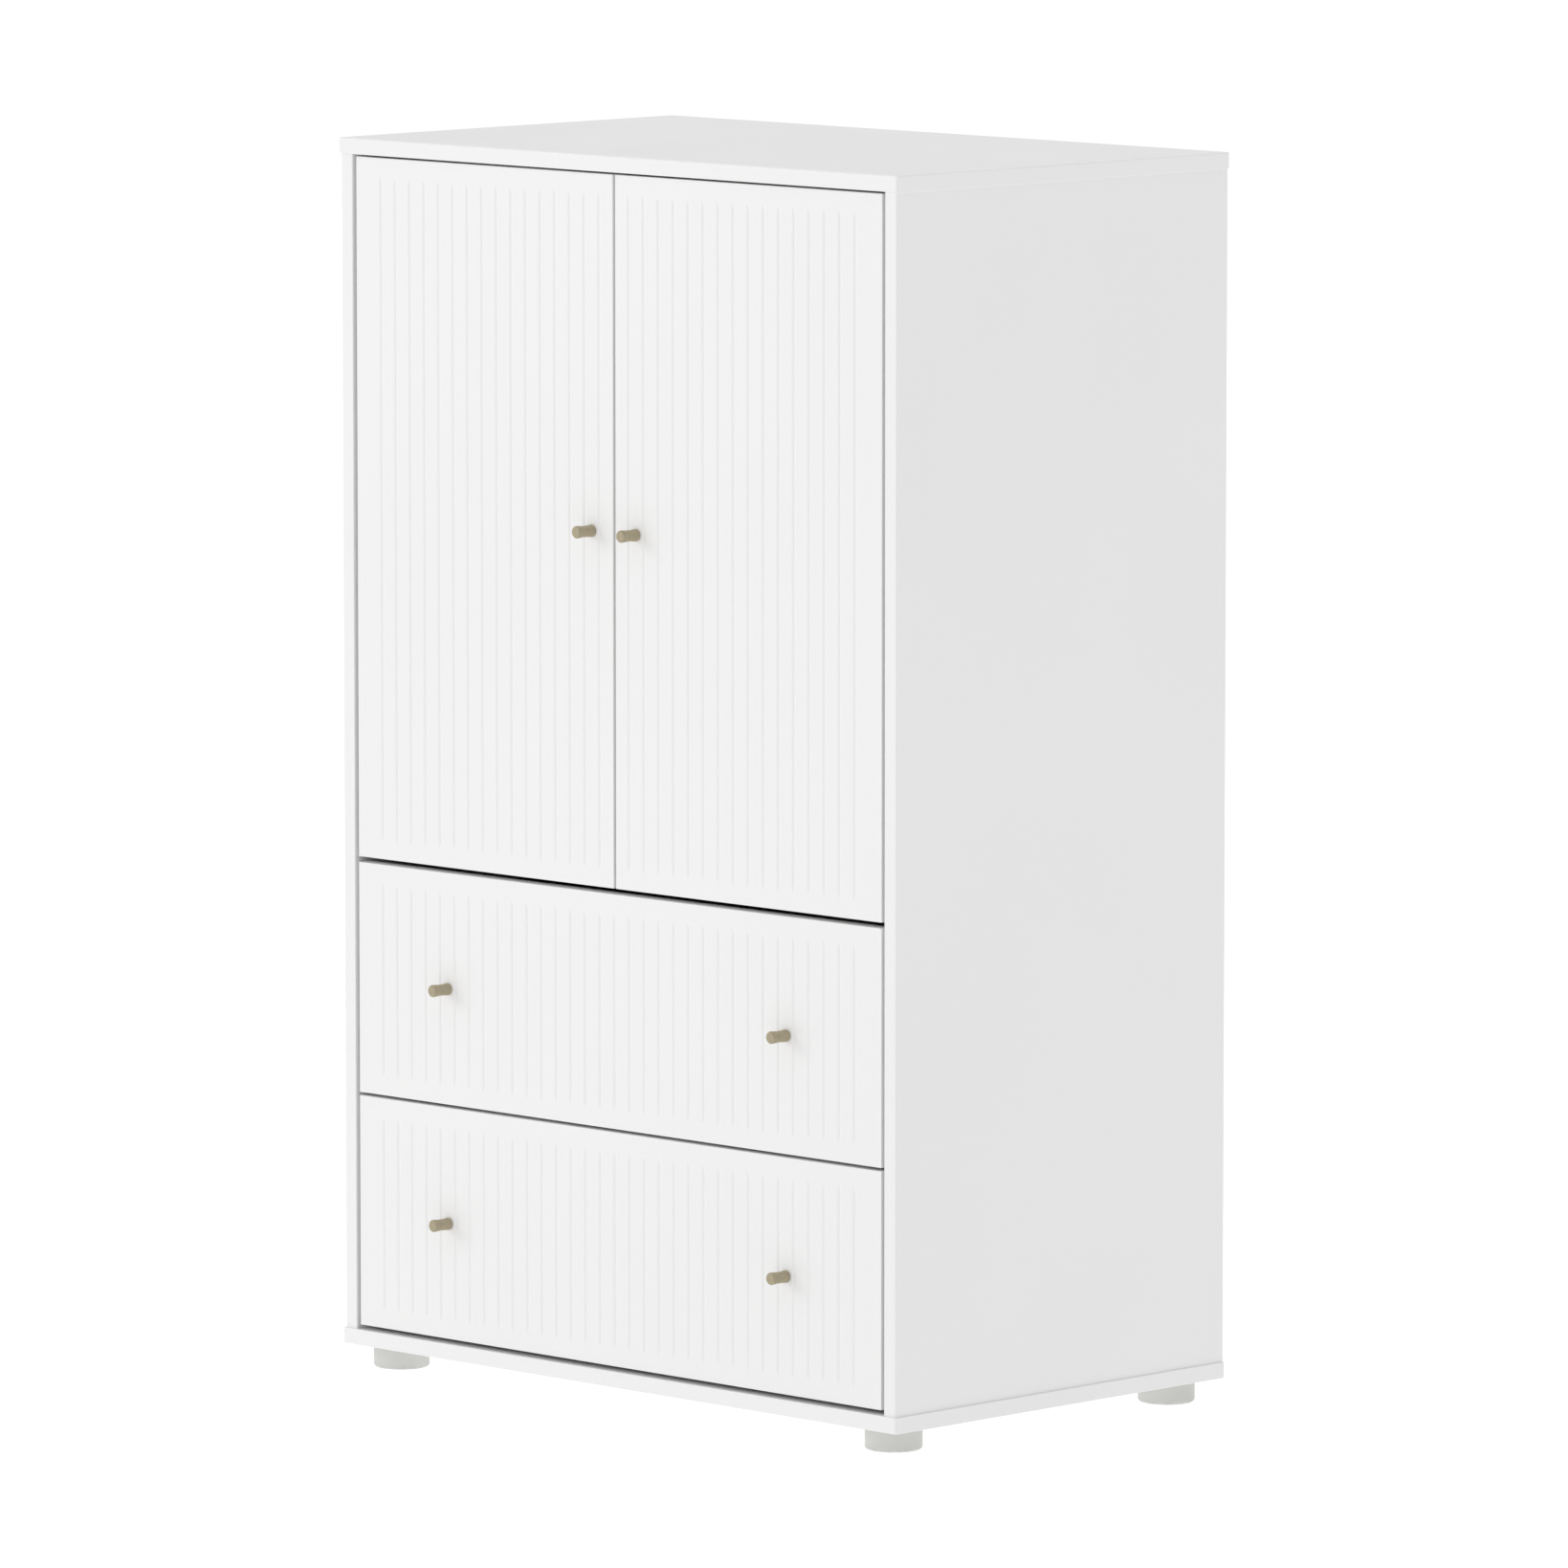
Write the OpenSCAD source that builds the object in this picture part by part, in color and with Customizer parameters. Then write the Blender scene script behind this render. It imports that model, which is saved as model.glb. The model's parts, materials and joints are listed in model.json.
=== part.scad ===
// Low two-door wardrobe with two drawers below the doors.
// +Z is up, the doors face -Y. The origin is on the floor, in the middle of the whole object.

/* [Case] */
// Width of the top and bottom panels
case_w = 820; // [790:5:860]
// Depth of the top and bottom panels
case_d = 493.2; // [480:0.1:540]
// Height from the floor to the top
case_h = 1307.8; // [1250:0.1:1420]
// Thickness of the boards
board_t = 17; // [16:0.5:18]
// How far the top and bottom panels stand out past each side panel
side_inset = 2.2; // [1:0.1:4]
// How far the side panels' front edges lie behind the top panel's
side_setback = 2; // [1:0.1:2.6]
// Rounding of the boards' edges
edge_r = 2.5; // [1:0.5:3]
// Thickness of the back panel
back_t = 4; // [3:0.5:5]

/* [Fronts] */
// How far the doors and drawer fronts lie behind the top panel's front edge
front_recess = 3; // [2:0.1:4]
// Gap between a front and the side panel
side_gap = 4.8; // [4.6:0.1:5.5]
// Gap between the two doors
centre_gap = 3.4; // [3:0.1:5]
// Underside of the doors
door_z = 547.7; // [545:0.1:550]
// Gap between the doors and the top panel
door_top_gap = 2.4; // [2:0.1:4]
// Underside of the upper drawer front
upper_front_z = 296; // [294:0.5:298]
// Gap between the upper drawer front and the doors
upper_gap = 6; // [4:0.1:7]
// Underside of the lower drawer front
lower_front_z = 46.4; // [45:0.1:48]
// Gap between the two drawer fronts
lower_gap = 3.4; // [3:0.1:5]

/* [Grooves] */
// Distance from groove to groove
groove_pitch = 21.75; // [20:0.05:22.5]
// Radius of the cutter that leaves the groove
groove_r = 4.4; // [3:0.1:6]
// Depth of a groove
groove_depth = 1.3; // [0.8:0.1:1.6]
// Length over which a groove runs out at each end
groove_runout = 9; // [4:1:12]
// Plain margin above and below the grooves
groove_margin = 18; // [15:1:30]

/* [Knobs] */
// Length of a knob
knob_len = 24; // [20:1:28]
// Radius of a knob at its ends
knob_r = 6.5; // [5:0.5:8]
// How much thinner the knob's waist is, on the radius
knob_waist = 0.6; // [0.3:0.1:1.5]

/* [Feet] */
// Height of a foot
foot_h = 24.4; // [20:0.1:30]
// Radius of a foot
foot_r = 29.8; // [25:0.1:32]

/* [Inside] */
// Underside of the movable shelf
shelf_z = 1075; // [1043:32:1107]
// Height of the clothes rail's centre
rail_z = 1030; // [980:5:1035]
// Radius of the clothes rail
rail_r = 12.5; // [10:0.5:12.5]
// Height of the drawer boxes
box_h = 170; // [150:5:190]
// Depth of the drawer boxes behind the front
box_d = 430; // [420:5:440]
// Thickness of the drawer boxes' sides
box_t = 12; // [10:1:14]

/* [Hidden] */
$fn = 48;
fit_gap = 0.05;                      // on the radius, between a screw and its hole
knob_reach = knob_len - front_recess;
front_y = (knob_reach - case_d) / 2; // front edge of the top panel
back_y = front_y + case_d;
side_y = front_y + side_setback;
face_y = front_y + front_recess;     // front face of doors and drawers
inner_y = face_y + board_t;          // their back face
side_out = case_w / 2 - side_inset;
side_in = side_out - board_t;
front_x = side_in - side_gap;        // outer edge of doors and drawer fronts
floor_z = foot_h + board_t;          // top of the bottom panel
roof_z = case_h - board_t;           // underside of the top panel
door_h = roof_z - door_top_gap - door_z;
upper_front_h = door_z - upper_gap - upper_front_z;
lower_front_h = upper_front_z - lower_gap - lower_front_z;

// Back panel in its groove
back_setin = 12;
back_groove = 7;
back_lap = 6.5;
back_face_y = back_y - back_setin - back_t;

// Fixed shelf between the doors and the drawers
fixed_z = door_z - 0.5;
fixed_y = inner_y + 9;                // clear of the doors' inner corners as they swing
movable_y = inner_y + 17;

// Concealed hinge, from the door's outer front corner
pin_dx = 11.5;
pin_dy = 10.5;
pin_r = 1.5;
pin_half = 13;
pivot_x = front_x - pin_dx;
pivot_y = face_y + pin_dy;
cup_x = front_x - 21.5;
cup_hole_r = 17.5;
cup_r = 17.4;
cup_wall = 1;
cup_depth = 12;
rim_t = 1;
arm_w = 14;
arm_t = 2.5;
arm_angle = 21;
arm_run = 29.5;                      // straight part of the arm, from the pin to the bend
arm_back = 19;                       // pin to the middle of the arm's returning leg
plate_t = 3;
hinge_low_z = door_z + 95;
hinge_high_z = door_z + door_h - 95;
hinge_zs = [hinge_low_z, hinge_high_z];
plate_screw_y = side_y + 37;
plate_screw_dz = 16;
cup_screw_dx = 9.5;
cup_screw_dz = 22.5;

// Drawer boxes and slides, each slide measured from the side panel inwards
slide_w = 12.7;
slide_len = 400;
slide_y = inner_y + 3;
slide_lift = 60;                     // from the box's underside to the slide's middle
slide_t = 1.2;
box_x = side_in - slide_w;
box_lift = 20;                       // from the front's lower edge to the box's underside
base_t = 4;
base_lift = 10;
base_lap = 6;
upper_box_z = upper_front_z + box_lift;
lower_box_z = lower_front_z + box_lift;
slide_screw_ys = [slide_y + 37, slide_y + 165, slide_y + 325];

// Fasteners
screw_r = 1.75;
screw_len = 12;
screw_head_r = 3.5;
screw_head_t = 1.4;
cam_r = 7.5;
cam_t = 12.5;
cam_reach = 34;                      // from a joint to the middle of its cam
bolt_r = 3.5;
bolt_hole_r = 4;
bolt_thread_r = 2.5;
bolt_thread = 11;
dowel_r = 4;
dowel_in_slab = 10;
dowel_in_panel = 20;
cam_ys = [front_y + 60, back_y - 80];
dowel_ys = [front_y + 92, back_y - 112];
shelf_cam_ys = [front_y + 90, back_y - 110];
shelf_dowel_ys = [front_y + 122, back_y - 142];

// Shelf holes and pins
peg_r = 2.5;
peg_in = 9;
peg_out = 8;
peg_collar = 0.9;
peg_ys = [front_y + 62, back_y - 62];
peg_pitch = 32;
peg_rows = 3;

// Clothes rail, its sockets and the wall brackets
rail_y = (inner_y + back_face_y) / 2;
rail_wall = 1.5;
socket_t = 3;
socket_r = 21;
socket_ring_r = 15.5;
socket_deep = 12;
socket_screw = 17.8;
bracket_z = roof_z - 45;
bracket_leg = 34;
bracket_w = 24;
bracket_t = 2;
bracket_hole_r = 3.25;
bracket_screw_y = back_face_y - 22;

// Feet, in from the edges of the bottom panel
foot_in_x = 45;
foot_in_front = 43;
foot_in_back = 41.5;
foot_round = 3.5;
foot_recess_r = 7;
foot_recess = 16;

// Knobs
knob_z = door_z + door_h / 2;
door_knob_x = 1.5 * groove_pitch;
drawer_knob_x = 11.5 * groove_pitch;
knob_screw_r = 2;
knob_screw_in = 9;

case_nodes = ["top_panel", "bottom_panel", "left_side_panel", "right_side_panel", "back_panel",
    "fixed_shelf", "movable_shelf", "clothes_rail", "rail_sockets", "shelf_pins",
    "front_left_foot", "front_right_foot", "back_left_foot", "back_right_foot",
    "case_dowels", "cam_bolts", "cam_locks", "case_screws", "door_bumpers", "wall_brackets",
    "left_hinge_plates", "right_hinge_plates", "left_hinge_arms", "right_hinge_arms",
    "upper_cabinet_slides", "lower_cabinet_slides"];
door_nodes = ["left_door_panel", "left_door_knob", "left_knob_screw", "left_hinge_cups",
    "left_hinge_pins", "left_cup_screws", "right_door_panel", "right_door_knob",
    "right_knob_screw", "right_hinge_cups", "right_hinge_pins", "right_cup_screws"];
drawer_nodes = ["upper_front", "upper_left_side", "upper_right_side", "upper_back",
    "upper_bottom", "upper_knobs", "upper_knob_screws", "upper_drawer_slides",
    "upper_drawer_screws", "upper_middle_slides", "lower_front", "lower_left_side",
    "lower_right_side", "lower_back", "lower_bottom", "lower_knobs", "lower_knob_screws",
    "lower_drawer_slides", "lower_drawer_screws", "lower_middle_slides"];

white = "whitesmoke";
steel = "silver";

// ---- shared shapes ----

module round_rect(w, h, r) {
    translate([r, 0]) square([w - 2 * r, h]);
    translate([0, r]) square([w, h - 2 * r]);
    for (x = [r, w - r], y = [r, h - r]) translate([x, y]) circle(r);
}

// A board between two corners, every edge rounded by r
module board(lo, hi, r) {
    w = hi - lo;
    translate(lo) intersection() {
        linear_extrude(w.z) round_rect(w.x, w.y, r);
        translate([0, w.y, 0]) rotate([90, 0, 0]) linear_extrude(w.y) round_rect(w.x, w.z, r);
        rotate([90, 0, 90]) linear_extrude(w.x) round_rect(w.y, w.z, r);
    }
}

module block(lo, hi) {
    translate(lo) cube(hi - lo);
}

// A cylinder along X, Y or Z from a point, length towards the positive axis
module rod_x(p, r, len) { translate(p) rotate([0, 90, 0]) cylinder(r = r, h = len); }
module rod_y(p, r, len) { translate(p) rotate([-90, 0, 0]) cylinder(r = r, h = len); }
module rod_z(p, r, len) { translate(p) cylinder(r = r, h = len); }

// A vertical cutter from z0 to z1 whose tapered ends let the groove run out gently
module groove_cutter(x, z0, z1) {
    cone = groove_runout * groove_r / groove_depth;
    low = z0 + groove_runout;
    high = z1 - groove_runout;
    translate([x, face_y - groove_r + groove_depth, 0]) rotate_extrude()
        polygon([[0, low - cone], [groove_r, low], [groove_r, high], [0, high + cone]]);
}

// A wood screw whose head's underside is at the origin and whose head points up
module screw(len = screw_len) {
    difference() {
        cylinder(r1 = screw_head_r, r2 = screw_head_r - 0.8, h = screw_head_t);
        for (a = [0, 90]) rotate([0, 0, a]) translate([-2, -0.4, 0.6]) cube([4, 0.8, 1]);
    }
    translate([0, 0, -len]) cylinder(r = screw_r, h = len);
}

// Places its children at one side, which is -1 on the left and 1 on the right.
// They are drawn as for the right-hand side.
module at_side(side) {
    mirror([side < 0 ? 1 : 0, 0, 0]) children();
}

// ---- case screws, drawn for the right-hand side ----

// Each one is [face x, y, z]: the head rests on a fitting and the shank goes into the side panel
side_screws = concat(
    [for (z = hinge_zs, d = [-1, 1]) [side_in - plate_t, plate_screw_y, z + d * plate_screw_dz]],
    [for (z = [upper_box_z, lower_box_z], y = slide_screw_ys) [side_in - slide_t, y, z + slide_lift]],
    [for (d = [-1, 1]) [side_in - socket_t, rail_y + d * socket_screw, rail_z]],
    [for (d = [-1, 1]) [side_in - bracket_t, bracket_screw_y, bracket_z + d * 7]]);
feet = [[-1, front_y + foot_in_front], [1, front_y + foot_in_front],
    [-1, back_y - foot_in_back], [1, back_y - foot_in_back]];

module side_screw_holes() {
    for (s = side_screws) rod_x([side_in - 1, s.y, s.z], screw_r + fit_gap, 13);
}

module case_screws() {
    color(steel) {
        for (side = [-1, 1], s = side_screws) at_side(side) translate(s) rotate([0, -90, 0]) screw();
        for (f = feet) translate([f.x * (case_w / 2 - foot_in_x), f.y, foot_recess])
            rotate([180, 0, 0]) screw(len = foot_h - foot_recess + 11);
    }
}

// ---- flat-pack joints ----

// Holes of one upright joint: bolt and dowel in the slab, bolt, dowel and cam in the side
module slab_joint_holes(z, up) {
    x = side_in + board_t / 2;
    for (y = cam_ys) rod_z([x, y, up > 0 ? z - 0.1 : z - bolt_thread], bolt_thread_r + fit_gap,
        bolt_thread + 0.1);
    for (y = dowel_ys) rod_z([x, y, up > 0 ? z - 0.1 : z - dowel_in_slab - 0.2],
        dowel_r + fit_gap, dowel_in_slab + 0.3);
}

module side_joint_holes(z, up) {
    x = side_in + board_t / 2;
    for (y = cam_ys) {
        rod_z([x, y, up > 0 ? z - cam_reach : z - 0.1], bolt_hole_r, cam_reach + 0.1);
        rod_x([side_in - 0.1, y, z - up * cam_reach], cam_r + fit_gap, cam_t + 0.3);
    }
    for (y = dowel_ys) rod_z([x, y, up > 0 ? z - dowel_in_panel - 0.2 : z - 0.1],
        dowel_r + fit_gap, dowel_in_panel + 0.3);
}

// Bolts and dowels that tie the fixed shelf to a side panel
module shelf_joint_holes() {
    z = fixed_z + board_t / 2;
    for (y = shelf_cam_ys) rod_x([side_in - 0.1, y, z], bolt_thread_r + fit_gap, bolt_thread + 0.2);
    for (y = shelf_dowel_ys) rod_x([side_in - 0.1, y, z], dowel_r + fit_gap, dowel_in_slab + 0.3);
}

module case_dowels() {
    color("burlywood") for (side = [-1, 1]) at_side(side) {
        for (y = dowel_ys) {
            rod_z([side_in + board_t / 2, y, roof_z - dowel_in_panel], dowel_r,
                dowel_in_panel + dowel_in_slab);
            rod_z([side_in + board_t / 2, y, floor_z - dowel_in_slab], dowel_r,
                dowel_in_panel + dowel_in_slab);
        }
        for (y = shelf_dowel_ys)
            rod_x([side_in - dowel_in_panel, y, fixed_z + board_t / 2], dowel_r,
                dowel_in_panel + dowel_in_slab);
    }
}

// One bolt along +Z: the thread is above the origin, the shank and head below it
module cam_bolt() {
    cylinder(r = bolt_thread_r, h = bolt_thread - 0.5);
    translate([0, 0, 4 - cam_reach]) cylinder(r = bolt_thread_r, h = cam_reach - 4);
    translate([0, 0, -cam_reach]) cylinder(r = bolt_r, h = 3);
    translate([0, 0, 3 - cam_reach]) cylinder(r = 1.8, h = 1.5);
    translate([0, 0, -3]) cylinder(r = bolt_r, h = 3);
}

module cam_bolts() {
    color(steel) for (side = [-1, 1]) at_side(side) {
        for (y = cam_ys) {
            translate([side_in + board_t / 2, y, roof_z]) cam_bolt();
            translate([side_in + board_t / 2, y, floor_z]) rotate([180, 0, 0]) cam_bolt();
        }
        for (y = shelf_cam_ys)
            translate([side_in, y, fixed_z + board_t / 2]) rotate([0, 90, 0]) cam_bolt();
    }
}

// A round cam whose open face is at the origin, with its body along +Z and the bolt from +X
module cam_lock() {
    difference() {
        cylinder(r = cam_r, h = cam_t);
        translate([-1, 0, board_t / 2]) rotate([0, 90, 0]) cylinder(r = bolt_hole_r, h = cam_r + 2);
        for (a = [45, 135]) rotate([0, 0, a]) translate([-3.5, -0.6, -0.1]) cube([7, 1.2, 2.1]);
    }
}

module cam_locks() {
    color("darkgray") for (side = [-1, 1]) at_side(side) {
        for (y = cam_ys) {
            translate([side_in, y, roof_z - cam_reach]) rotate([0, 90, 0]) rotate([0, 0, 180]) cam_lock();
            translate([side_in, y, floor_z + cam_reach]) rotate([0, 90, 0]) cam_lock();
        }
        for (y = shelf_cam_ys) translate([side_in - cam_reach, y, fixed_z]) cam_lock();
    }
}

// ---- case panels ----

module back_groove() {
    translate([0, -0.2, 0]) block([-side_in - back_groove, back_face_y, floor_z - back_groove],
        [side_in + back_groove, back_face_y + back_t + 0.4, roof_z + back_groove]);
}

module top_panel() {
    color(white) difference() {
        board([-case_w / 2, front_y, roof_z], [case_w / 2, back_y, case_h], edge_r);
        back_groove();
        for (side = [-1, 1]) at_side(side) slab_joint_holes(roof_z, 1);
    }
}

module bottom_panel() {
    color(white) difference() {
        board([-case_w / 2, front_y, foot_h], [case_w / 2, back_y, floor_z], edge_r);
        back_groove();
        for (side = [-1, 1]) at_side(side) slab_joint_holes(floor_z, -1);
        for (f = feet) rod_z([f.x * (case_w / 2 - foot_in_x), f.y, foot_h - 1],
            screw_r + fit_gap, 13);
    }
}

// The right side panel; its outer upright edges are rounded and its inner ones sharp
module side_panel() {
    difference() {
        translate([side_in, side_y, floor_z]) linear_extrude(roof_z - floor_z) union() {
            round_rect(board_t, back_y - side_y, edge_r - 0.5);
            square([board_t / 2, back_y - side_y]);
        }
        back_groove();
        side_joint_holes(roof_z, 1);
        side_joint_holes(floor_z, -1);
        shelf_joint_holes();
        side_screw_holes();
        for (y = peg_ys, k = [-peg_rows : peg_rows])
            rod_x([side_in - 0.1, y, shelf_z - peg_r + k * peg_pitch], peg_r + fit_gap, peg_in + 1.1);
    }
}

module left_side_panel() { color(white) at_side(-1) side_panel(); }
module right_side_panel() { color(white) at_side(1) side_panel(); }

module back_panel() {
    color(white) difference() {
        block([-side_in - back_lap, back_face_y, floor_z - back_lap],
            [side_in + back_lap, back_face_y + back_t, roof_z + back_lap]);
        for (side = [-1, 1])
            rod_y([side * (side_in - bracket_leg + 12), back_face_y - 1, bracket_z],
                bracket_hole_r + 1.5, back_t + 2);
    }
}

module fixed_shelf() {
    z = fixed_z + board_t / 2;
    color(white) difference() {
        block([-side_in, fixed_y, fixed_z], [side_in, back_face_y - 0.5, fixed_z + board_t]);
        for (side = [-1, 1]) at_side(side) {
            for (y = shelf_cam_ys) {
                rod_x([side_in - cam_reach, y, z], bolt_hole_r, cam_reach + 1);
                rod_z([side_in - cam_reach, y, fixed_z - 1], cam_r + fit_gap, cam_t + 1.2);
            }
            for (y = shelf_dowel_ys) rod_x([side_in - dowel_in_panel - 0.2, y, z],
                dowel_r + fit_gap, dowel_in_panel + 1);
        }
    }
}

module movable_shelf() {
    color(white) block([1 - side_in, movable_y, shelf_z],
        [side_in - 1, back_face_y - 1, shelf_z + board_t]);
}

module shelf_pins() {
    color(steel) for (side = [-1, 1], y = peg_ys) at_side(side) {
        rod_x([side_in - peg_out, y, shelf_z - peg_r], peg_r, peg_out + peg_in);
        rod_x([side_in - peg_collar, y, shelf_z - peg_r], peg_r + 1.5, peg_collar);
    }
}

module clothes_rail() {
    half = side_in - socket_t - 0.5;
    color(steel) difference() {
        rod_x([-half, rail_y, rail_z], rail_r, 2 * half);
        rod_x([-half - 1, rail_y, rail_z], rail_r - rail_wall, 2 * half + 2);
    }
}

module rail_sockets() {
    color("gainsboro") for (side = [-1, 1]) at_side(side) difference() {
        union() {
            rod_x([side_in - socket_t, rail_y, rail_z], socket_r, socket_t);
            rod_x([side_in - socket_deep, rail_y, rail_z], socket_ring_r, socket_deep);
        }
        rod_x([side_in - socket_deep - 1, rail_y, rail_z], rail_r + 0.2, socket_deep + 1 - socket_t);
        for (d = [-1, 1]) rod_x([side_in - socket_t - 1, rail_y + d * socket_screw, rail_z],
            screw_r + fit_gap, socket_t + 2);
        for (d = [-1, 1]) rod_x([side_in - socket_deep - 1, rail_y + d * socket_screw, rail_z],
            screw_head_r + 0.1, socket_deep + 1 - socket_t);
    }
}

module foot() {
    difference() {
        rotate_extrude() intersection() {
            union() {
                translate([0, foot_round]) square([foot_r, foot_h - foot_round]);
                square([foot_r - foot_round, foot_h]);
                translate([foot_r - foot_round, foot_round]) circle(foot_round);
            }
            square([foot_r, foot_h]);
        }
        translate([0, 0, -1]) cylinder(r = foot_recess_r, h = foot_recess + 1);
        cylinder(r = screw_r + fit_gap, h = foot_h + 1);
    }
}

module foot_at(side, y) {
    color("lightgray") translate([side * (case_w / 2 - foot_in_x), y, 0]) foot();
}

module front_left_foot() { foot_at(-1, front_y + foot_in_front); }
module front_right_foot() { foot_at(1, front_y + foot_in_front); }
module back_left_foot() { foot_at(-1, back_y - foot_in_back); }
module back_right_foot() { foot_at(1, back_y - foot_in_back); }

module door_bumpers() {
    len = fixed_y - inner_y - 0.3;
    color("lightgray") for (x = [-60, 60])
        rod_y([x, fixed_y - len, fixed_z + board_t / 2 + 2], 4, len);
}

// An angle plate: one leg screwed to the side panel, the other takes a screw into the wall
module wall_brackets() {
    color(steel) for (side = [-1, 1]) at_side(side) difference() {
        union() {
            block([side_in - bracket_leg, back_face_y - bracket_t, bracket_z - bracket_w / 2],
                [side_in, back_face_y, bracket_z + bracket_w / 2]);
            block([side_in - bracket_t, back_face_y - bracket_leg, bracket_z - bracket_w / 2],
                [side_in, back_face_y, bracket_z + bracket_w / 2]);
        }
        rod_y([side_in - bracket_leg + 12, back_face_y - bracket_t - 1, bracket_z],
            bracket_hole_r, bracket_t + 2);
        for (d = [-1, 1]) rod_x([side_in - bracket_t - 1, bracket_screw_y, bracket_z + d * 7],
            screw_r + fit_gap, bracket_t + 2);
    }
}

// ---- hinges, drawn for the right-hand side ----

// The plate on the side panel: a bar along the depth and a wing for its two screws
module hinge_plates() {
    color(steel) for (z = hinge_zs) difference() {
        union() {
            block([side_in - plate_t, pivot_y + arm_back - arm_t / 2, z - arm_w / 2],
                [side_in, plate_screw_y + 32, z + arm_w / 2]);
            block([side_in - plate_t, plate_screw_y - 6, z - plate_screw_dz - 6],
                [side_in, plate_screw_y + 6, z + plate_screw_dz + 6]);
        }
        for (d = [-1, 1]) rod_x([side_in - plate_t - 1, plate_screw_y, z + d * plate_screw_dz],
            screw_r + fit_gap, plate_t + 2);
    }
}

// The goose-neck arm: an eye on the pin, a run out of the cup, a bend, and a leg back to the plate
module hinge_arm(z) {
    bend = (arm_back - arm_run * sin(arm_angle)) / (1 + cos(arm_angle));
    end_x = pivot_x - arm_run * cos(arm_angle);
    turn_x = end_x + bend * sin(arm_angle);
    foot_x = side_in - plate_t;
    leg_y = pivot_y + arm_back;
    translate([0, 0, z - arm_w / 2]) difference() {
        union() {
            translate([pivot_x, pivot_y, 0]) cylinder(r = 3.2, h = arm_w);
            translate([pivot_x, pivot_y, 0]) rotate([0, 0, 180 - arm_angle])
                translate([0, -arm_t / 2, 0]) cube([arm_run, arm_t, arm_w]);
            intersection() {
                translate([turn_x, leg_y - bend, 0]) difference() {
                    cylinder(r = bend + arm_t / 2, h = arm_w);
                    translate([0, 0, -1]) cylinder(r = bend - arm_t / 2, h = arm_w + 2);
                }
                translate([turn_x, leg_y - bend, 0]) linear_extrude(arm_w)
                    polygon([[0, 0], [0, 30], [-30, 30], [-30, -30],
                        30 * [-sin(arm_angle), -cos(arm_angle)]]);
            }
            block([turn_x, leg_y - arm_t / 2, 0], [foot_x, leg_y + arm_t / 2, arm_w]);
            block([foot_x - arm_t, leg_y - arm_t / 2, 0], [foot_x, plate_screw_y + 30, arm_w]);
        }
        translate([pivot_x, pivot_y, -1]) cylinder(r = pin_r + 0.06, h = arm_w + 2);
    }
}

module hinge_arms() {
    color(steel) for (z = hinge_zs) hinge_arm(z);
}

// The cup in the door's back, with a rim that carries two screws and holes for the pin's ends
module hinge_cups() {
    color(steel) for (z = hinge_zs) difference() {
        union() {
            rod_y([cup_x, inner_y - cup_depth, z], cup_r, cup_depth);
            intersection() {
                rod_y([cup_x, inner_y, z], 28, rim_t);
                block([cup_x - 16, inner_y, z - 28], [cup_x + 4, inner_y + rim_t, z + 28]);
            }
        }
        rod_y([cup_x, inner_y - cup_depth + cup_wall, z], cup_r - cup_wall, cup_depth + rim_t);
        translate([pivot_x, pivot_y, z - cup_r]) cylinder(r = pin_r + fit_gap, h = 2 * cup_r);
        for (d = [-1, 1]) rod_y([cup_x - cup_screw_dx, inner_y - 1, z + d * cup_screw_dz],
            screw_r + fit_gap, rim_t + 2);
    }
}

module hinge_pins() {
    color("gray") for (z = hinge_zs) translate([pivot_x, pivot_y, z - pin_half])
        cylinder(r = pin_r, h = 2 * pin_half);
}

module cup_screws() {
    color(steel) for (z = hinge_zs, d = [-1, 1])
        translate([cup_x - cup_screw_dx, inner_y + rim_t, z + d * cup_screw_dz])
            rotate([-90, 0, 0]) screw(len = 11);
}

module left_hinge_plates() { at_side(-1) hinge_plates(); }
module right_hinge_plates() { at_side(1) hinge_plates(); }
module left_hinge_arms() { at_side(-1) hinge_arms(); }
module right_hinge_arms() { at_side(1) hinge_arms(); }
module left_hinge_cups() { at_side(-1) hinge_cups(); }
module right_hinge_cups() { at_side(1) hinge_cups(); }
module left_hinge_pins() { at_side(-1) hinge_pins(); }
module right_hinge_pins() { at_side(1) hinge_pins(); }
module left_cup_screws() { at_side(-1) cup_screws(); }
module right_cup_screws() { at_side(1) cup_screws(); }

// ---- doors, drawn for the right-hand side ----

module door_panel() {
    color(white) difference() {
        board([centre_gap / 2, face_y, door_z], [front_x, inner_y, door_z + door_h], 1);
        for (k = [1 : 16]) groove_cutter(k * groove_pitch, door_z + groove_margin,
            door_z + door_h - groove_margin);
        for (z = hinge_zs) {
            rod_y([cup_x, inner_y - cup_depth - 0.1, z], cup_hole_r, cup_depth + 1);
            for (d = [-1, 1]) rod_y([cup_x - cup_screw_dx, inner_y - 11, z + d * cup_screw_dz],
                screw_r + fit_gap, 12);
        }
        rod_y([door_knob_x, face_y - 1, knob_z], knob_screw_r + 0.2, board_t + 2);
    }
}

// A knob that stands on the front face, its waist hollowed by a large arc
module knob() {
    waist_r = (pow(knob_len / 2 - 2, 2) + pow(knob_waist, 2)) / (2 * knob_waist);
    rim = 1.8;
    rotate([90, 0, 0]) difference() {
        rotate_extrude() difference() {
            union() {
                square([knob_r - rim, knob_len]);
                translate([0, rim]) square([knob_r, knob_len - 2 * rim]);
                intersection() {
                    for (y = [rim, knob_len - rim]) translate([knob_r - rim, y]) circle(rim);
                    square([knob_r, knob_len]);
                }
            }
            translate([knob_r - knob_waist + waist_r, knob_len / 2]) circle(waist_r, $fn = 180);
        }
        translate([0, 0, -1]) cylinder(r = knob_screw_r + fit_gap, h = knob_screw_in + 2);
    }
}

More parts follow.
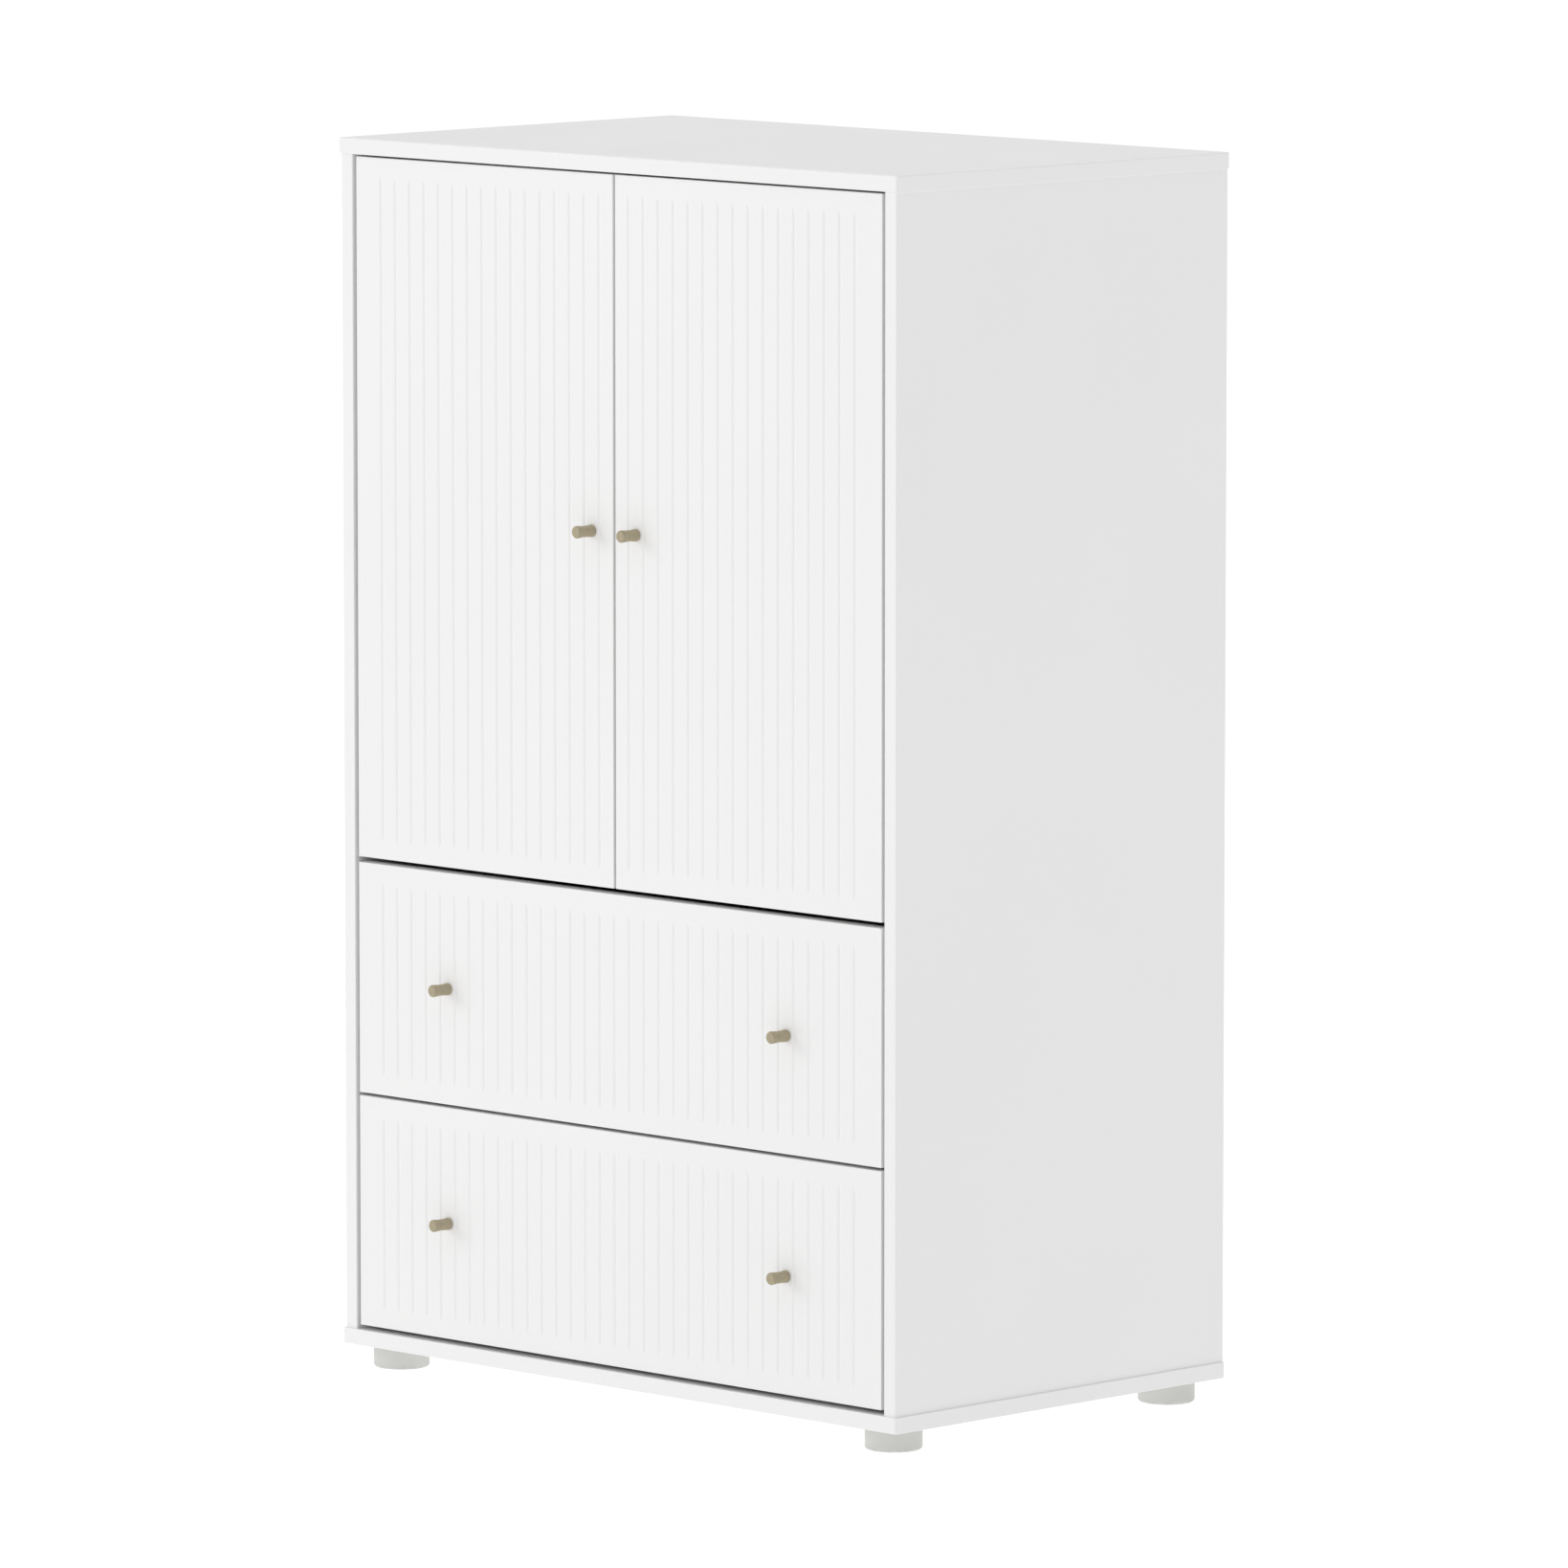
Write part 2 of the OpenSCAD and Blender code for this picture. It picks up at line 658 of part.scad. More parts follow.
// A machine screw through a front from behind, into a knob
module knob_screw() {
    rod_y([0, face_y - knob_screw_in, 0], knob_screw_r, board_t + knob_screw_in);
    difference() {
        rod_y([0, inner_y, 0], 4, 2.2);
        translate([0, inner_y + 1.2, 0]) for (a = [0, 90]) rotate([0, a, 0])
            translate([-2.2, 0, -0.5]) cube([4.4, 2, 1]);
    }
}

module knobs(xs, z) {
    color("darkkhaki") for (x = xs) translate([x, face_y, z]) knob();
}

module knob_screws(xs, z) {
    color(steel) for (x = xs) translate([x, 0, z]) knob_screw();
}

module left_door_panel() { at_side(-1) door_panel(); }
module right_door_panel() { at_side(1) door_panel(); }
module left_door_knob() { knobs([-door_knob_x], knob_z); }
module right_door_knob() { knobs([door_knob_x], knob_z); }
module left_knob_screw() { knob_screws([-door_knob_x], knob_z); }
module right_knob_screw() { knob_screws([door_knob_x], knob_z); }

// ---- drawers ----

module drawer_front(z, h) {
    box_z = z + box_lift;
    color(white) difference() {
        board([-front_x, face_y, z], [front_x, inner_y, z + h], 1);
        for (k = [-16 : 16]) groove_cutter(k * groove_pitch, z + groove_margin, z + h - groove_margin);
        for (side = [-1, 1]) rod_y([side * drawer_knob_x, face_y - 1, z + h / 2],
            knob_screw_r + 0.2, board_t + 2);
        block([-box_x + box_t - base_lap - 0.5, inner_y - base_lap - 0.3, box_z + base_lift - 0.1],
            [box_x - box_t + base_lap + 0.5, inner_y + 1, box_z + base_lift + base_t + 0.1]);
    }
}

// Side of a drawer box, drawn for the right-hand side
module drawer_side(z) {
    color(white) difference() {
        block([box_x - box_t, inner_y, z], [box_x, inner_y + box_d, z + box_h]);
        block([box_x - box_t - 1, inner_y - 1, z + base_lift - 0.1],
            [box_x - box_t + base_lap + 0.3, inner_y + box_d + 1, z + base_lift + base_t + 0.1]);
        for (y = slide_screw_ys) rod_x([box_x - 9, y, z + slide_lift], screw_r + fit_gap, 10);
    }
}

module drawer_back(z) {
    color(white) block([-box_x + box_t, inner_y + box_d - box_t, z + base_lift + base_t + 0.2],
        [box_x - box_t, inner_y + box_d, z + box_h]);
}

module drawer_bottom(z) {
    color(white) block([-box_x + box_t - base_lap, inner_y - base_lap, z + base_lift],
        [box_x - box_t + base_lap, inner_y + box_d, z + base_lift + base_t]);
}

// A channel along the depth, open inwards or outwards, its back at x0 and its lips out to x1
module channel(x0, x1, half, z) {
    back = x1 > x0 ? [x0, x0 + slide_t] : [x0 - slide_t, x0];
    translate([0, slide_y, z + slide_lift]) {
        block([back[0], 0, -half], [back[1], slide_len, half]);
        for (s = [-1, 1]) block([min(x0, x1), 0, s * (half - slide_t / 2) - slide_t / 2],
            [max(x0, x1), slide_len, s * (half - slide_t / 2) + slide_t / 2]);
    }
}

module cabinet_slides(z) {
    color(steel) for (side = [-1, 1]) at_side(side) difference() {
        channel(side_in, side_in - 9.5, 22.5, z);
        for (y = slide_screw_ys) rod_x([side_in - slide_t - 1, y, z + slide_lift],
            screw_r + fit_gap, slide_t + 2);
    }
}

module middle_slides(z) {
    color("gray") for (side = [-1, 1]) at_side(side) channel(side_in - 3.2, side_in - 9.5, 18.5, z);
}

module drawer_slides(z) {
    color(steel) for (side = [-1, 1]) at_side(side) difference() {
        channel(box_x, side_in - 6, 14.5, z);
        for (y = slide_screw_ys) rod_x([box_x - 1, y, z + slide_lift], screw_r + fit_gap, slide_t + 2);
    }
}

module drawer_screws(z) {
    color(steel) for (side = [-1, 1], y = slide_screw_ys) at_side(side)
        translate([box_x + slide_t, y, z + slide_lift]) rotate([0, 90, 0]) screw(len = 9);
}

module upper_front() { drawer_front(upper_front_z, upper_front_h); }
module upper_left_side() { at_side(-1) drawer_side(upper_box_z); }
module upper_right_side() { at_side(1) drawer_side(upper_box_z); }
module upper_back() { drawer_back(upper_box_z); }
module upper_bottom() { drawer_bottom(upper_box_z); }
module upper_knobs() { knobs([-drawer_knob_x, drawer_knob_x], upper_front_z + upper_front_h / 2); }
module upper_knob_screws() {
    knob_screws([-drawer_knob_x, drawer_knob_x], upper_front_z + upper_front_h / 2);
}
module upper_cabinet_slides() { cabinet_slides(upper_box_z); }
module upper_middle_slides() { middle_slides(upper_box_z); }
module upper_drawer_slides() { drawer_slides(upper_box_z); }
module upper_drawer_screws() { drawer_screws(upper_box_z); }
module lower_front() { drawer_front(lower_front_z, lower_front_h); }
module lower_left_side() { at_side(-1) drawer_side(lower_box_z); }
module lower_right_side() { at_side(1) drawer_side(lower_box_z); }
module lower_back() { drawer_back(lower_box_z); }
module lower_bottom() { drawer_bottom(lower_box_z); }
module lower_knobs() { knobs([-drawer_knob_x, drawer_knob_x], lower_front_z + lower_front_h / 2); }
module lower_knob_screws() {
    knob_screws([-drawer_knob_x, drawer_knob_x], lower_front_z + lower_front_h / 2);
}
module lower_cabinet_slides() { cabinet_slides(lower_box_z); }
module lower_middle_slides() { middle_slides(lower_box_z); }
module lower_drawer_slides() { drawer_slides(lower_box_z); }
module lower_drawer_screws() { drawer_screws(lower_box_z); }

top_panel();
bottom_panel();
left_side_panel();
right_side_panel();
back_panel();
fixed_shelf();
movable_shelf();
clothes_rail();
rail_sockets();
shelf_pins();
front_left_foot();
front_right_foot();
back_left_foot();
back_right_foot();
case_dowels();
cam_bolts();
cam_locks();
case_screws();
door_bumpers();
wall_brackets();
left_hinge_plates();
right_hinge_plates();
left_hinge_arms();
right_hinge_arms();
upper_cabinet_slides();
lower_cabinet_slides();
left_door_panel();
left_door_knob();
left_knob_screw();
left_hinge_cups();
left_hinge_pins();
left_cup_screws();
right_door_panel();
right_door_knob();
right_knob_screw();
right_hinge_cups();
right_hinge_pins();
right_cup_screws();
upper_front();
upper_left_side();
upper_right_side();
upper_back();
upper_bottom();
upper_knobs();
upper_knob_screws();
upper_drawer_slides();
upper_drawer_screws();
upper_middle_slides();
lower_front();
lower_left_side();
lower_right_side();
lower_back();
lower_bottom();
lower_knobs();
lower_knob_screws();
lower_drawer_slides();
lower_drawer_screws();
lower_middle_slides();
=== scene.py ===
import bpy
import json
import math
from mathutils import Matrix, Vector


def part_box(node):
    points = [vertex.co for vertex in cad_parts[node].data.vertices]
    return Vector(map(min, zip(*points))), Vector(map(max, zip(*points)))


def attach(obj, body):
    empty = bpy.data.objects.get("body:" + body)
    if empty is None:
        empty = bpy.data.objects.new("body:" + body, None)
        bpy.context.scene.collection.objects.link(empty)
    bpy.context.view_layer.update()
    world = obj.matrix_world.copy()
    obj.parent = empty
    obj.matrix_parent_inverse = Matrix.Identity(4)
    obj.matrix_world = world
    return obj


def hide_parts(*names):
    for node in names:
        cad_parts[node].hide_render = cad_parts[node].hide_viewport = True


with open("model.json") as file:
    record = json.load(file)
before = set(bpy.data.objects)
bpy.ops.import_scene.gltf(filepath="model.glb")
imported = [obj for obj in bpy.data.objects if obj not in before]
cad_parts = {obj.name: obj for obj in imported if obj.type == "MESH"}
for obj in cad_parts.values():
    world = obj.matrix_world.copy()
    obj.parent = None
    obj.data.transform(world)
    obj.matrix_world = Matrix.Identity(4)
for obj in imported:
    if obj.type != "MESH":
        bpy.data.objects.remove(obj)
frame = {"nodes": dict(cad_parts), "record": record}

mm = 0.001
mergeWithin = {"cadCopy": 0.001 * mm, "piece": 0.004 * mm}  # corners closer than this are one corner
samePlace = 0.01 * mm
creaseAngle = math.radians(32)
drillOvershoot = 1 * mm  # cutters start this far outside the face they open
nodes = frame["nodes"]
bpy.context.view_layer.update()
bpy.context.tool_settings.mesh_select_mode = (False, True, False)
print("frame loaded,", len(nodes), "parts")


# Selecting and applying, as by hand

def takeUp(obj):
    bpy.ops.object.select_all(action="DESELECT")
    obj.select_set(True)
    bpy.context.view_layer.objects.active = obj


def named(name):
    obj = bpy.context.object
    obj.name = name
    obj.data.name = name
    return obj


def freeze(obj):
    takeUp(obj)
    bpy.ops.object.transform_apply(location=True, rotation=True, scale=True)
    return obj


def runModifier(obj, kind, **settings):
    takeUp(obj)
    modifier = obj.modifiers.new(kind.lower(), kind)
    for key, value in settings.items():
        setattr(modifier, key, value)
    bpy.ops.object.modifier_apply(modifier=modifier.name)


def editWith(obj, operator, **settings):
    takeUp(obj)
    bpy.ops.object.mode_set(mode="EDIT")
    bpy.ops.mesh.select_all(action="SELECT")
    operator(**settings)
    bpy.ops.object.mode_set(mode="OBJECT")


# Selects the edges whose two ends pass the test and stays in edit mode
def selectEdges(obj, wanted):
    takeUp(obj)
    mesh = obj.data
    for group in (mesh.vertices, mesh.edges, mesh.polygons):
        group.foreach_set("select", [False] * len(group))
    for edge in mesh.edges:
        ends = [mesh.vertices[i] for i in edge.vertices]
        if wanted(ends[0].co, ends[1].co):
            edge.select = True
            for end in ends:
                end.select = True
    bpy.ops.object.mode_set(mode="EDIT")


def roundEdges(obj, radius, wanted, segments=4):
    selectEdges(obj, wanted)
    bpy.ops.mesh.bevel(offset=radius, segments=segments, affect="EDGES")
    bpy.ops.object.mode_set(mode="OBJECT")


def joinAll(parts):
    takeUp(parts[0])
    for part in parts[1:]:
        part.select_set(True)
    if len(parts) > 1:
        bpy.ops.object.join()
    return parts[0]


def ownCopy(obj, name, offset=(0, 0, 0)):
    copy = obj.copy()
    copy.data = obj.data.copy()
    copy.name = name
    copy.data.name = name
    copy.data.transform(Matrix.Translation(offset))
    bpy.context.scene.collection.objects.link(copy)
    return copy


def carve(obj, cutters):
    cutter = joinAll(cutters)
    runModifier(obj, "BOOLEAN", operation="DIFFERENCE", solver="EXACT", object=cutter)
    bpy.data.objects.remove(cutter)


# Corners of each separate solid in a node, from left to right
def solidBoxes(node):
    loose = ownCopy(nodes[node], "looseCopy")
    loose.parent = None
    editWith(loose, bpy.ops.mesh.remove_doubles, threshold=mergeWithin["cadCopy"])
    editWith(loose, bpy.ops.mesh.separate, type="LOOSE")
    boxes = []
    for solid in list(bpy.context.selected_objects):
        points = [vertex.co for vertex in solid.data.vertices]
        boxes.append(tuple(Vector([pick(point[i] for point in points) for i in range(3)])
                           for pick in (min, max)))
        bpy.data.objects.remove(solid)
    return sorted(boxes, key=lambda corners: tuple(round(c, 5) for c in corners[0]))


# Clean mesh, smooth curves and flat faces, and "rim" = 1 on the chosen faces: the worn edges of boards, and
# the knob tips that get painted shade
def finishSurface(obj, isRim):
    editWith(obj, bpy.ops.mesh.remove_doubles, threshold=mergeWithin["piece"])
    editWith(obj, bpy.ops.mesh.normals_make_consistent, inside=False)
    takeUp(obj)
    bpy.ops.object.shade_smooth_by_angle(angle=creaseAngle)
    runModifier(obj, "WEIGHTED_NORMAL", mode="FACE_AREA", weight=100, keep_sharp=True)
    rim = obj.data.attributes.new("rim", "FLOAT", "CORNER")
    values = [0.0] * len(obj.data.loops)
    for face in obj.data.polygons:
        if isRim(face.center):
            for corner in face.loop_indices:
                values[corner] = 1.0
    rim.data.foreach_set("value", values)


def place(obj, body, slot, node):
    obj.data.materials.clear()
    obj.data.materials.append(slotMaterial[slot])
    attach(obj, body)
    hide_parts(node)


# Material nodes

def startMaterial(name):
    material = bpy.data.materials.new(name)
    material.use_nodes = True
    tree = material.node_tree
    return material, tree, tree.nodes["Principled BSDF"]


def noise(tree, scale, detail, stretch=(1, 1, 1)):
    coords = tree.nodes.new("ShaderNodeTexCoord")
    mapping = tree.nodes.new("ShaderNodeMapping")
    mapping.inputs["Scale"].default_value = stretch
    texture = tree.nodes.new("ShaderNodeTexNoise")
    texture.inputs["Scale"].default_value = scale
    texture.inputs["Detail"].default_value = detail
    tree.links.new(coords.outputs["Object"], mapping.inputs["Vector"])
    tree.links.new(mapping.outputs["Vector"], texture.inputs["Vector"])
    return texture.outputs["Fac"]


# Stretches the part of a value between low and high over another range
def spread(tree, value, low, high, outLow, outHigh):
    node = tree.nodes.new("ShaderNodeMapRange")
    for socket, number in zip(node.inputs[1:5], (low, high, outLow, outHigh)):
        socket.default_value = number
    tree.links.new(value, node.inputs["Value"])
    return node.outputs["Result"]


def feed(tree, socket, value):
    if isinstance(value, bpy.types.NodeSocket):
        tree.links.new(value, socket)
    else:
        socket.default_value = value


def blendColour(tree, factor, first, second):
    node = tree.nodes.new("ShaderNodeMix")
    node.data_type = "RGBA"
    tree.links.new(factor, node.inputs["Factor"])
    for socket, colour in zip(node.inputs[6:8], (first, second)):
        feed(tree, socket, (*colour, 1) if isinstance(colour, tuple) else colour)
    return node.outputs[2]


def combine(tree, operation, first, second):
    node = tree.nodes.new("ShaderNodeMath")
    node.operation = operation
    feed(tree, node.inputs[0], first)
    feed(tree, node.inputs[1], second)
    return node.outputs[0]


def attribute(tree, name):
    node = tree.nodes.new("ShaderNodeAttribute")
    node.attribute_name = name
    return node.outputs["Fac"]


def raiseBump(tree, shader, height, strength, distance):
    node = tree.nodes.new("ShaderNodeBump")
    node.inputs["Strength"].default_value = strength
    node.inputs["Distance"].default_value = distance
    tree.links.new(height, node.inputs["Height"])
    tree.links.new(node.outputs["Normal"], shader.inputs["Normal"])


# White boards: slow drift of tone, fine specks, orange peel, and coating worn thin on the rims
boardGrain = {"drift": 2.2, "speck": 170, "wear": 45, "sheen": 9, "waves": 55, "peel": 420,
              "sheenSwing": 0.04, "wornDull": 0.15, "waveShare": 0.6, "bump": 0.25 * mm}


def boardMaterial(name, look):
    material, tree, shader = startMaterial(name)
    drift = spread(tree, noise(tree, boardGrain["drift"], 2), 0.35, 0.65, 0, 1)
    colour = blendColour(tree, drift, look["colour"], look["drift"])
    speck = spread(tree, noise(tree, boardGrain["speck"], 4), 0.62, 0.8, 0, look["speck"])
    colour = blendColour(tree, speck, colour, look["speckColour"])
    patches = spread(tree, noise(tree, boardGrain["wear"], 5), 0.4, 0.75, *look["wear"])
    worn = combine(tree, "MULTIPLY", attribute(tree, "rim"), patches)
    tree.links.new(blendColour(tree, worn, colour, look["rim"]), shader.inputs["Base Color"])
    gloss, swing = look["gloss"], boardGrain["sheenSwing"]
    sheen = spread(tree, noise(tree, boardGrain["sheen"], 4), 0.3, 0.7, gloss - swing, gloss + swing)
    scuffed = combine(tree, "MULTIPLY", worn, boardGrain["wornDull"])
    tree.links.new(combine(tree, "ADD", sheen, scuffed), shader.inputs["Roughness"])
    peel = noise(tree, boardGrain["peel"], 2)
    waves = combine(tree, "MULTIPLY", noise(tree, boardGrain["waves"], 2), boardGrain["waveShare"])
    raiseBump(tree, shader, combine(tree, "ADD", peel, waves), look["peel"], boardGrain["bump"])
    return material


lacquer = {"colour": (0.866, 0.866, 0.864), "drift": (0.856, 0.856, 0.854), "speck": 0.05,
           "speckColour": (0.8, 0.8, 0.79), "rim": (0.832, 0.83, 0.82), "wear": (0.05, 0.4),
           "gloss": 0.42, "peel": 0.08}
foil = {"colour": (0.85, 0.85, 0.843), "drift": (0.84, 0.838, 0.83), "speck": 0.08,
        "speckColour": (0.78, 0.77, 0.76), "rim": (0.8, 0.795, 0.78), "wear": (0.1, 0.55),
        "gloss": 0.5, "peel": 0.14}
hardboard = {"colour": (0.8, 0.798, 0.785), "drift": (0.785, 0.782, 0.765), "speck": 0.25,
             "speckColour": (0.7, 0.69, 0.66), "rim": (0.72, 0.7, 0.66), "wear": (0.2, 0.7),
             "gloss": 0.62, "peel": 0.3}


# Aged satin brass with the fine rings of the lathe and painted shade on the knob tips; "turned" is the way
# along the profile
brass = {"colour": (0.52, 0.462, 0.335), "patina": (0.455, 0.402, 0.296), "tip": (0.45, 0.4, 0.29),
         "tipShadeShare": 0.7, "patinaScale": 260, "grainScale": 700, "roughness": (0.6, 0.74),
         "ringScale": 5200, "ringStrength": 0.2, "ringDepth": 0.05 * mm}


def brassMaterial():
    material, tree, shader = startMaterial("agedBrass")
    shader.inputs["Metallic"].default_value = 1.0
    patina = spread(tree, noise(tree, brass["patinaScale"], 5), 0.35, 0.7, 0, 1)
    colour = blendColour(tree, patina, brass["colour"], brass["patina"])
    # Painted shade: the knob tips ("rim") are darkened so that they reflect less of the lights
    shadedTip = combine(tree, "MULTIPLY", attribute(tree, "rim"), brass["tipShadeShare"])
    tree.links.new(blendColour(tree, shadedTip, colour, brass["tip"]), shader.inputs["Base Color"])
    grain = noise(tree, brass["grainScale"], 3)
    tree.links.new(spread(tree, grain, 0.3, 0.7, *brass["roughness"]), shader.inputs["Roughness"])
    rings = tree.nodes.new("ShaderNodeTexNoise")
    rings.noise_dimensions = "1D"
    rings.inputs["Scale"].default_value = brass["ringScale"]
    tree.links.new(attribute(tree, "turned"), rings.inputs["W"])
    raiseBump(tree, shader, rings.outputs["Fac"], brass["ringStrength"], brass["ringDepth"])
    return material


# Plated or cast metal with a fine grain
metalGrain = {"stain": 30, "grain": 900, "smoother": 0.06, "rougher": 0.08, "strength": 0.12,
              "depth": 0.04 * mm}


def metalMaterial(name, look):
    material, tree, shader = startMaterial(name)
    shader.inputs["Metallic"].default_value = 1.0
    stain = spread(tree, noise(tree, metalGrain["stain"], 5), 0.35, 0.75, 0, 1)
    tree.links.new(blendColour(tree, stain, look["colour"], look["stain"]), shader.inputs["Base Color"])
    grain = noise(tree, metalGrain["grain"], 3, look["stretch"])
    smooth, rough = look["gloss"] - metalGrain["smoother"], look["gloss"] + metalGrain["rougher"]
    tree.links.new(spread(tree, grain, 0.3, 0.7, smooth, rough), shader.inputs["Roughness"])
    raiseBump(tree, shader, grain, metalGrain["strength"], metalGrain["depth"])
    return material


nickel = {"colour": (0.66, 0.66, 0.645), "stain": (0.55, 0.55, 0.54), "stretch": (1, 0.05, 1),
          "gloss": 0.32}
zincPlate = {"colour": (0.6, 0.61, 0.62), "stain": (0.46, 0.47, 0.48), "stretch": (1, 1, 1), "gloss": 0.36}
rawZinc = {"colour": (0.5, 0.5, 0.5), "stain": (0.38, 0.38, 0.39), "stretch": (1, 1, 1), "gloss": 0.48}


# Moulded plastic and rubber: fine mould grain, scuffed dark up to a height above the floor
mouldGrain = {"patch": 38, "scuff": 120, "grain": 1500, "scuffHeight": 6 * mm, "scuffShare": 0.35,
              "smoother": 0.05, "rougher": 0.07, "strength": 0.22, "depth": 0.08 * mm}


def mouldedMaterial(name, look):
    material, tree, shader = startMaterial(name)
    patch = spread(tree, noise(tree, mouldGrain["patch"], 3), 0.35, 0.65, 0, 1)
    colour = blendColour(tree, patch, look["colour"], look["patch"])
    split = tree.nodes.new("ShaderNodeSeparateXYZ")
    tree.links.new(tree.nodes.new("ShaderNodeTexCoord").outputs["Object"], split.inputs[0])
    low = spread(tree, split.outputs["Z"], 0, mouldGrain["scuffHeight"], mouldGrain["scuffShare"], 0)
    marks = spread(tree, noise(tree, mouldGrain["scuff"], 5), 0.4, 0.6, 0, 1)
    scuff = combine(tree, "MULTIPLY", low, marks)
    tree.links.new(blendColour(tree, scuff, colour, look["scuff"]), shader.inputs["Base Color"])
    grain = noise(tree, mouldGrain["grain"], 2)
    smooth, rough = look["gloss"] - mouldGrain["smoother"], look["gloss"] + mouldGrain["rougher"]
    tree.links.new(spread(tree, grain, 0.3, 0.7, smooth, rough), shader.inputs["Roughness"])
    raiseBump(tree, shader, grain, mouldGrain["strength"], mouldGrain["depth"])
    return material


footMoulding = {"colour": (0.62, 0.628, 0.598), "patch": (0.6, 0.608, 0.578), "scuff": (0.4, 0.4, 0.38),
                "gloss": 0.5}
socketMoulding = {"colour": (0.78, 0.78, 0.765), "patch": (0.75, 0.75, 0.735), "scuff": (0.5, 0.5, 0.49),
                  "gloss": 0.45}
rubber = {"colour": (0.72, 0.72, 0.7), "patch": (0.68, 0.68, 0.66), "scuff": (0.5, 0.5, 0.49), "gloss": 0.6}


# Raw beech with its grain running along the dowels
beech = {"colour": (0.62, 0.42, 0.25), "grainColour": (0.5, 0.32, 0.18), "grain": 320,
         "stretch": (0.15, 1, 0.15), "roughness": (0.62, 0.78), "strength": 0.3, "depth": 0.1 * mm}


def beechMaterial():
    material, tree, shader = startMaterial("rawBeech")
    grain = noise(tree, beech["grain"], 4, beech["stretch"])
    streaks = spread(tree, grain, 0.35, 0.7, 0, 1)
    colour = blendColour(tree, streaks, beech["colour"], beech["grainColour"])
    tree.links.new(colour, shader.inputs["Base Color"])
    tree.links.new(spread(tree, grain, 0.3, 0.7, *beech["roughness"]), shader.inputs["Roughness"])
    raiseBump(tree, shader, grain, beech["strength"], beech["depth"])
    return material


slotMaterial = {
    "lacquered_board": boardMaterial("whiteLacquer", lacquer),
    "inner_board": boardMaterial("whiteFoil", foil),
    "thin_board": boardMaterial("paintedHardboard", hardboard),
    "knob_metal": brassMaterial(),
    "foot_plastic": mouldedMaterial("footPlastic", footMoulding),
    "fitting_steel": metalMaterial("nickelSteel", nickel),
    "screw_steel": metalMaterial("zincSteel", zincPlate),
    "cam_metal": metalMaterial("castZinc", rawZinc),
    "socket_plastic": mouldedMaterial("socketPlastic", socketMoulding),
    "dowel_wood": beechMaterial(),
    "bumper_rubber": mouldedMaterial("bumperRubber", rubber),
}
for part in frame["record"]["subparts"]:
    mesh = nodes[part["node"]].data
    mesh.materials.clear()
    mesh.materials.append(slotMaterial[part["material_slot"]])
print("materials ready")


# A board that fills a node's box; sharp until its edges are rounded
def startBoard(name, node):
    low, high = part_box(node)
    bpy.ops.mesh.primitive_cube_add(size=1, location=(low + high) / 2)
    board = named(name)
    board.scale = high - low
    return freeze(board), low, high


rimReach = 2.6 * mm  # faces this close to two sides of the board's box count as its rim


def finishBoard(board, low, high, body, slot, node):
    def isRim(middle):
        return sum(min(middle[i] - low[i], high[i] - middle[i]) < rimReach for i in range(3)) > 1

    finishSurface(board, isRim)
    place(board, body, slot, node)


def same(first, second):
    return abs(first - second) < samePlace


def isUpright(a, b):
    return same(a.x, b.x) and same(a.y, b.y)


def addBlock(low, high):
    low, high = Vector(low), Vector(high)
    bpy.ops.mesh.primitive_cube_add(size=1, location=(low + high) / 2)
    block = named("blockCutter")
    block.scale = high - low
    return freeze(block)


# A round cutter from a point along an axis
def addDrill(start, axis, radius, length, vertices=48):
    turn = Vector((0, 0, 1)).rotation_difference(Vector(axis)).to_euler()
    bpy.ops.mesh.primitive_cylinder_add(vertices=vertices, radius=radius, depth=length, rotation=turn,
                                        location=Vector(start) + Vector(axis) * length / 2)
    return freeze(named("drillCutter"))


# Top and bottom panels; radii of their upright corners and of their upper and lower edges

slabLook = {
    "topPanel": {"corner": 2.5 * mm, "upper": 2.0 * mm, "lower": 0.3 * mm},
    "bottomPanel": {"corner": 2.5 * mm, "upper": 0.4 * mm, "lower": 0.8 * mm},
}
backFit = Vector((0.5, 0.2, 0.5)) * mm  # room for the back panel in its groove
backLow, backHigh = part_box("back_panel")


def backGroove():
    return addBlock(backLow - backFit, backHigh + backFit)


def buildSlab(name, node):
    slab, low, high = startBoard(name, node)
    look = slabLook[name]
    roundEdges(slab, look["corner"], isUpright)
    roundEdges(slab, look["upper"], lambda a, b: same(a.z, high.z) and same(b.z, high.z))
    roundEdges(slab, look["lower"], lambda a, b: same(a.z, low.z) and same(b.z, low.z), 3)
    carve(slab, [backGroove()])
    finishBoard(slab, low, high, "carcass", "lacquered_board", node)


buildSlab("topPanel", "top_panel")
buildSlab("bottomPanel", "bottom_panel")

# Side panels with peg holes for the shelf and recesses for the cam locks

sideLook = {"outerRadius": 2.0 * mm, "innerRadius": 0.9 * mm}
pegLook = {"radius": 2.5 * mm, "depth": 10 * mm, "rows": 3, "pitch": 32 * mm}  # rows above and below a pin
camLook = {"radius": 7.55 * mm, "depth": 12.8 * mm}
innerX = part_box("right_side_panel")[0].x
pinBoxes = solidBoxes("shelf_pins")
camBoxes = solidBoxes("cam_locks")


